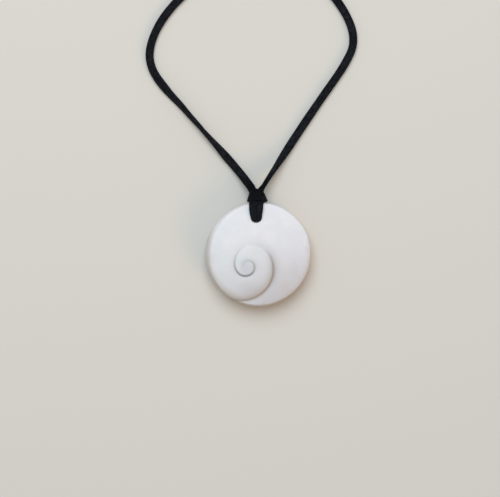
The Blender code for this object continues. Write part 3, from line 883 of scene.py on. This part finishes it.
def dirt_and_shade_at(x, y):
    """Dirt in the line here, and painted shade: grey on the face outside it and brown on the shoulder
    inside it.
    """
    from_eye = sqrt((x - EYE[0]) ** 2 + (y - EYE[1]) ** 2)
    dirt = grey = brown = 0.0
    for line, _, place in spiral_lines(degrees(atan2(y - EYE[1], x - EYE[0]))):
        distance = from_eye - line
        width = DIRT_WIDTH + DIRT_GROWTH * line
        outside = GREY_WIDTH if distance > 0 else width
        inside = width if distance > 0 else SHOULDER_SHADE_WIDTH * shoulder_width(line)
        dirt = max(dirt, fading(LINE_DIRT, place, distance, width))
        grey = max(grey, fading(OUTSIDE_SHADE_AND_HAZE, place, distance, outside))
        brown = max(brown, fading(SHOULDER_SHADE, place, distance, inside))
    return min(dirt, 1.0), grey, brown


def number_the_mesh(body):
    """Gives each point of the shell its three numbers, none below the girth."""
    values = []
    for vert in body.data.vertices:
        x, y, z = vert.co / MM
        values.append(dirt_and_shade_at(x, y) if z > GIRTH_HEIGHT else (0.0, 0.0, 0.0))
    for column, name in enumerate(("line_dirt", "line_shade_and_haze", "line_shoulder_shade")):
        attribute = body.data.attributes.new(name, "FLOAT", "POINT")
        attribute.data.foreach_set("value", [row[column] for row in values])
    return sum(1 for row in values if max(row) > MARKED_FROM)


print(number_the_mesh(shell), "points of the shell are stained")

# %% [markdown]
# ## The polished shell
#
# Polished operculum looks like unglazed porcelain: white, slightly see-through, with a soft
# gloss. The light that goes in comes out a little way off, which subsurface scattering gives.
# The eye is the oldest and thinnest shell and looks bluish grey, the newest part is warmer and a
# little blotched, and faint growth lines cross each turn. On the domed back some of the lid's
# orange-brown skin is left, most of it on the right, and its glow warms the shadow there. Only what
# changes over the surface is computed.
# Shade is painted into the white too: the face greys towards the bottom, where less light falls.

# %% The colours of the shell
COOL_WHITE = (0.741, 0.769, 0.843, 1)
PALE_WHITE = (0.782, 0.803, 0.870, 1)
LOWER_PAINTED_SHADE = (0.520, 0.513, 0.556, 1)       # painted shade: the face greys towards the bottom
LEFT_BLUE = (0.65, 0.77, 0.82, 1)
STREAK_GREY = (0.66, 0.62, 0.64, 1)         # the growth lines
BLOTCH_BROWN = (0.53, 0.45, 0.44, 1)
EYE_BLUE = (0.60, 0.635, 0.705, 1)
# painted shade beside the line: outside it, with a little haze, and on the shoulder inside it
OUTSIDE_SHADE_AND_HAZE_COLOUR = (0.40, 0.39, 0.41, 1)
SHOULDER_SHADE_COLOUR = (0.42, 0.405, 0.385, 1)
EYE_DIRT = (0.22, 0.245, 0.25, 1)           # in the first turn
OUTER_DIRT = (0.255, 0.212, 0.18, 1)        # in the rest of the line
BACK_SKIN = (0.88, 0.48, 0.17, 1)
TINTS = (                       # x, y, full within, none beyond, strength and colour of a faint spot
    (EYE[0] - 2.0, EYE[1] + 2.6, 0.5, 5.0, 0.45, (0.64, 0.76, 0.84, 1)),
    (EYE[0] - 3.0, EYE[1] + 5.2, 0.3, 2.6, 0.35, (0.66, 0.79, 0.87, 1)),
    (EYE[0] - 3.4, EYE[1] + 2.4, 0.2, 2.2, 0.18, (0.58, 0.74, 0.80, 1)),
    (EYE[0] - 0.4, EYE[1] - 1.2, 0.3, 2.6, 0.40, (0.47, 0.57, 0.72, 1)),
    (EYE[0] + 1.6, EYE[1] - 0.7, 0.2, 1.5, 0.30, (0.55, 0.55, 0.68, 1)),
    (-1.0, 2.0, 1.0, 5.0, 0.35, (0.66, 0.745, 0.75, 1)),
    (-17.5, 2.5, 0.5, 4.5, 0.25, (0.62, 0.75, 0.82, 1)),
    (14.5, -7.0, 1.0, 5.0, 0.12, (0.58, 0.54, 0.57, 1)),
    (11.0, -15.0, 1.0, 5.5, 0.24, (0.62, 0.54, 0.51, 1)),
    (-20.0, -2.5, 0.5, 4.0, 0.30, (0.56, 0.60, 0.63, 1)),
    # painted shade: the next two grey the bottom of the face, where less light falls
    (1.0, -18.5, 2.0, 7.0, 0.36, (0.51, 0.50, 0.515, 1)),
    (-4.0, -14.5, 0.5, 5.0, 0.18, (0.50, 0.49, 0.50, 1)),
)
# Painted shade on three sides of the rim, where its wall turns from the light: thin and warm at the upper
# left, wide and grey on the left, browner at the lower right.
RIM_SHADE_TINTS = (                   # its width, its side as shares of x and y, none and full, strength, colour
    (2.2, (-0.7, 0.5), 4.0, 14.0, 0.34, (0.70, 0.62, 0.52, 1)),
    (3.6, (-0.9, -0.45), 10.0, 19.0, 0.6, (0.48, 0.44, 0.37, 1)),
    (2.4, (0.85, -0.5), 13.0, 20.0, 0.5, (0.52, 0.43, 0.37, 1)),
)
ROUGH_NOISE = 0.55              # the roughness of the noises on the shell


# %% Where a point lies on the shell
def shell_patterns(place):
    """Distances, sides and the two noises that most of the colours use."""
    x, y, z = place.axes()
    return SimpleNamespace(
        place=place, x=x, y=y,
        from_eye=place.distance((*EYE, THICKNESS)),
        from_rim=OUTLINE_RADIUS - x.sum("POWER", x * x + y * y, 0.5),
        clouds=place.noise(0.16, roughness=ROUGH_NOISE),
        mottle=place.noise(0.9, 4.0, ROUGH_NOISE),
        face=z.ramp(GIRTH_HEIGHT - 1.0, GIRTH_HEIGHT + 1.5),
        back=1.0 - z.ramp(GIRTH_HEIGHT - 2.0, GIRTH_HEIGHT + 0.2),
    )


# %% The whites, from the cool top to the bottom greyed by painted shade
def porcelain(at):
    """White with clouds, painted shade greying it towards the bottom, a cooler left side and faint spots.
    """
    colour = at.clouds.ramp(0.35, 0.65).blend(COOL_WHITE, PALE_WHITE)
    # Painted shade: greyer towards the bottom of the face, away from the light.
    lower = (at.x * 0.22 - at.y + at.clouds * 4.0).ramp(-2.0, 26.0)
    colour = (lower * 0.78).blend(colour, LOWER_PAINTED_SHADE)
    left = (-6.0 - at.x).ramp(-4.0, 8.0) * at.from_rim.ramp(1.5, 5.0)
    patches = at.place.noise(0.10, 1.0).ramp(0.35, 0.70)
    colour = (patches * left * 0.45).blend(colour, LEFT_BLUE)
    for x, y, near, far, share, tint in TINTS:
        spot = 1.0 - (at.place.distance((x, y, THICKNESS)) + at.mottle * 2.0).ramp(near + 1.0, far + 1.0)
        colour = (spot * at.face * share).blend(colour, tint)
    return colour


# %% The marks of growth
def grown(at, colour):
    """Growth lines across the turns, brownish blotches on the newest part and the bluish eye."""
    turned = at.x.sum("ARCTAN2", at.y - EYE[1], at.x - EYE[0]) + at.from_eye * 0.10
    across = turned.node("ShaderNodeCombineXYZ", inputs={
        0: turned.sum("COSINE", turned) * 9.0, 1: turned.sum("SINE", turned) * 9.0, 2: at.from_eye * 0.12})
    streaks = across.noise(1.0).ramp(0.40, 0.70)
    colour = (streaks * at.face * 0.07).blend(colour, STREAK_GREY)
    newest = (at.x - at.y * 0.7).ramp(8.0, 22.0)
    blotches = at.place.noise(0.32, 2.0, ROUGH_NOISE).ramp(0.48, 0.68)
    colour = (blotches * newest * at.face * 0.14).blend(colour, BLOTCH_BROWN)
    eye = 1.0 - at.from_eye.ramp(2.4, 4.6)
    return (eye * at.face * 0.8).blend(colour, EYE_BLUE)


# %% The dirt and painted shade along the line, the painted shade on the rim, and the back
def number_on_mesh(wire, name):
    return wire.node("ShaderNodeAttribute", {"attribute_name": name}, output=2)


def stained_and_shaded(at, colour, dirt):
    """The painted shade on both sides of the line and on the rim's sides, and the dirt in the line itself.
    """
    # painted shade beside the line: outside it, with a little haze, and on the shoulder inside it
    colour = (number_on_mesh(at.x, "line_shade_and_haze") * 0.37).blend(colour, OUTSIDE_SHADE_AND_HAZE_COLOUR)
    colour = (number_on_mesh(at.x, "line_shoulder_shade") * 0.38).blend(colour, SHOULDER_SHADE_COLOUR)
    # painted shade on three sides of the rim
    for width, (share_x, share_y), none, full, share, tint in RIM_SHADE_TINTS:
        side = (at.x * share_x + at.y * share_y).ramp(none, full)
        colour = ((1.0 - at.from_rim.ramp(-0.2, width)) * side * share).blend(colour, tint)
    dirt_colour = at.from_eye.ramp(3.5, 9.0).blend(EYE_DIRT, OUTER_DIRT)
    return (dirt * (0.65 + 0.35 * at.mottle)).blend(colour, dirt_colour)


def with_skin(at, colour):
    """The orange-brown skin that is left on the back, most of it on the right."""
    side = (at.x * 0.9 - at.y * 0.4 + at.clouds * 8.0).ramp(-4.0, 14.0)
    mottle = 0.66 + 0.28 * at.place.noise(0.25, 2.0, ROUGH_NOISE).ramp(0.25, 0.75)
    return (at.back * mottle * (0.12 + 0.88 * side)).blend(colour, BACK_SKIN)


# %% The polished shell's material
def shell_material():
    made, shader, place = new_material("polished_shell")
    at = shell_patterns(place)
    dirt = number_on_mesh(place, "line_dirt")
    feed(shader, "Base Color", with_skin(at, stained_and_shaded(at, grown(at, porcelain(at)), dirt)))
    feed(shader, "Roughness", 0.34 + 0.10 * at.mottle + dirt * 0.3 + at.back * 0.12)
    pits = place.noise(2.2, 5.0, ROUGH_NOISE) * 0.5 + place.noise(14.0, 2.0, ROUGH_NOISE) * 0.12
    bump = place.node("ShaderNodeBump", inputs={"Height": pits, "Strength": 0.08, "Distance": 0.0004})
    feed(shader, "Normal", bump)
    set_shader(shader, {
        "Subsurface Weight": 0.25, "Subsurface Radius": (1.0, 0.85, 0.75), "Subsurface Scale": 0.0015,
        "Coat Weight": 0.15, "Coat Roughness": 0.25, "IOR": 1.53,
    })
    return made


shell.data.materials.clear()
shell.data.materials.append(shell_material())
print("shader nodes of the shell:", len(shell.data.materials[0].node_tree.nodes))

# %% [markdown]
# ## The black lace
#
# The lace is soft imitation suede: a flat woven core with short fibres, raised by brushing, over it.
# It is deep black, with a cool sheen painted into its colour where the fibres would catch the light.
# The UV map runs along it, so the brush marks and the sheen painted on them do too. In and beside
# the knot on the shell less of that sheen is painted, as painted shade, and it looks darker.

# %% The lace's material
DEEP_BLACK = (0.0020, 0.0025, 0.0036, 1)
PAINTED_FIBRE_SHEEN = (0.0212, 0.0245, 0.0325, 1)    # painted sheen: lighter where the fibres would catch the light
FIBRES_PER_METRE = (700.0, 2200.0, 1.0)     # along the lace and around it
KNOT_SHADE_CENTRE = (-0.5, 29.0, 8.0)             # middle of the painted shade, in millimetres, just above the bar of the knot
KNOT_SHADE_FULL_WITHIN, KNOT_SHADE_GONE_BEYOND = 3.0, 11.0


def lace_material():
    made, shader, place = new_material("black_lace")
    uv = place.node("ShaderNodeUVMap", {"uv_map": "lace"})
    along = uv.node("ShaderNodeVectorMath", {"operation": "MULTIPLY"}, {0: uv, 1: FIBRES_PER_METRE})
    fibres = along.noise(1.0, 4.0, 0.65)
    nap = place.noise(0.7)
    fuzz = place.noise(9.0)
    # Painted shade: less painted sheen in and beside the knot on the shell
    beyond_knot_shade = 0.2 + 0.8 * place.distance(KNOT_SHADE_CENTRE).ramp(KNOT_SHADE_FULL_WITHIN, KNOT_SHADE_GONE_BEYOND)
    # the fibre grain, lightened as painted sheen
    grain_and_sheen = (fibres * 0.7 + nap * 0.5).ramp(0.35, 0.95) * beyond_knot_shade
    feed(shader, "Base Color", grain_and_sheen.blend(DEEP_BLACK, PAINTED_FIBRE_SHEEN))
    feed(shader, "Roughness", 0.82 + 0.12 * nap)
    bump = fibres.node("ShaderNodeBump", inputs={
        "Height": fibres * 0.6 + fuzz * 0.5, "Strength": 0.5, "Distance": 0.00025})
    feed(shader, "Normal", bump)
    set_shader(shader, {
        "Sheen Weight": 0.04, "Sheen Roughness": 0.5, "Sheen Tint": (0.7, 0.78, 0.95, 1.0),
        "Specular IOR Level": 0.05,
    })
    return made


black_lace = lace_material()
for piece in (lace, rim_knot, closing_knot, coil_tie):
    piece.data.materials.clear()
    piece.data.materials.append(black_lace)
    print(piece.name, "is in", black_lace.name)

# %% [markdown]
# ## The table and the light
#
# On a plain ivory table, one big soft light stands beyond the top of the picture and a little to its
# left, so the shell's shadow falls below it and to the right. A pale sky fills that shadow. A weak
# warm light comes in low from the lower right, as light thrown back by a pale warm surface does. It is
# a sun with a wide disc, which is as strong all over the table, where a near lamp would leave a pool.

# %% The table
TABLE_IVORY = (0.690, 0.692, 0.670, 1.0)
TABLE_SIZE = 6.0


def make_table():
    bpy.ops.object.select_all(action="DESELECT")
    bpy.ops.mesh.primitive_plane_add(size=TABLE_SIZE, location=(0, 0, 0))
    table = bpy.context.object
    table.name = "table"
    made = bpy.data.materials.new("table_ivory")
    made.use_nodes = True
    set_shader(made.node_tree.nodes["Principled BSDF"], {"Base Color": TABLE_IVORY, "Roughness": 0.8})
    table.data.materials.append(made)
    return table


table = make_table()

# %% The light
KEY_PLACE, KEY_AIM = (-0.12, 0.61, 1.12), (0, 0.02, 0)
KEY_POWER = 10.6                # watts
KEY_SIZE = 1.10
KEY_COLOUR = (0.925, 0.975, 1.0)
FILL_PLACE, FILL_AIM = (0.50, -0.45, 0.36), (0, 0, 0)
FILL_STRENGTH = 0.79            # a sun's strength, in watts for each square metre
FILL_DISC = radians(29)
FILL_COLOUR = (1.0, 0.60, 0.28)
SKY_COLOUR = (0.99, 0.97, 0.93, 1.0)
SKY_STRENGTH = 0.39


def add_light(kind, name, place, aim, strength, colour):
    bpy.ops.object.light_add(type=kind, location=place)
    light = bpy.context.object
    light.name = name
    light.data.energy = strength
    light.data.color = colour
    light.rotation_euler = (Vector(aim) - Vector(place)).to_track_quat("-Z", "Y").to_euler()
    return light


def add_sky():
    world = bpy.data.worlds.new("pale_sky")
    world.use_nodes = True
    sky = world.node_tree.nodes["Background"]
    sky.inputs["Color"].default_value = SKY_COLOUR
    sky.inputs["Strength"].default_value = SKY_STRENGTH
    bpy.context.scene.world = world


key = add_light("AREA", "key_light", KEY_PLACE, KEY_AIM, KEY_POWER, KEY_COLOUR)
key.data.shape = "DISK"
key.data.size = KEY_SIZE
fill = add_light("SUN", "warm_fill", FILL_PLACE, FILL_AIM, FILL_STRENGTH, FILL_COLOUR)
fill.data.angle = FILL_DISC
add_sky()
print("lights:", key.name, fill.name, "and the sky")
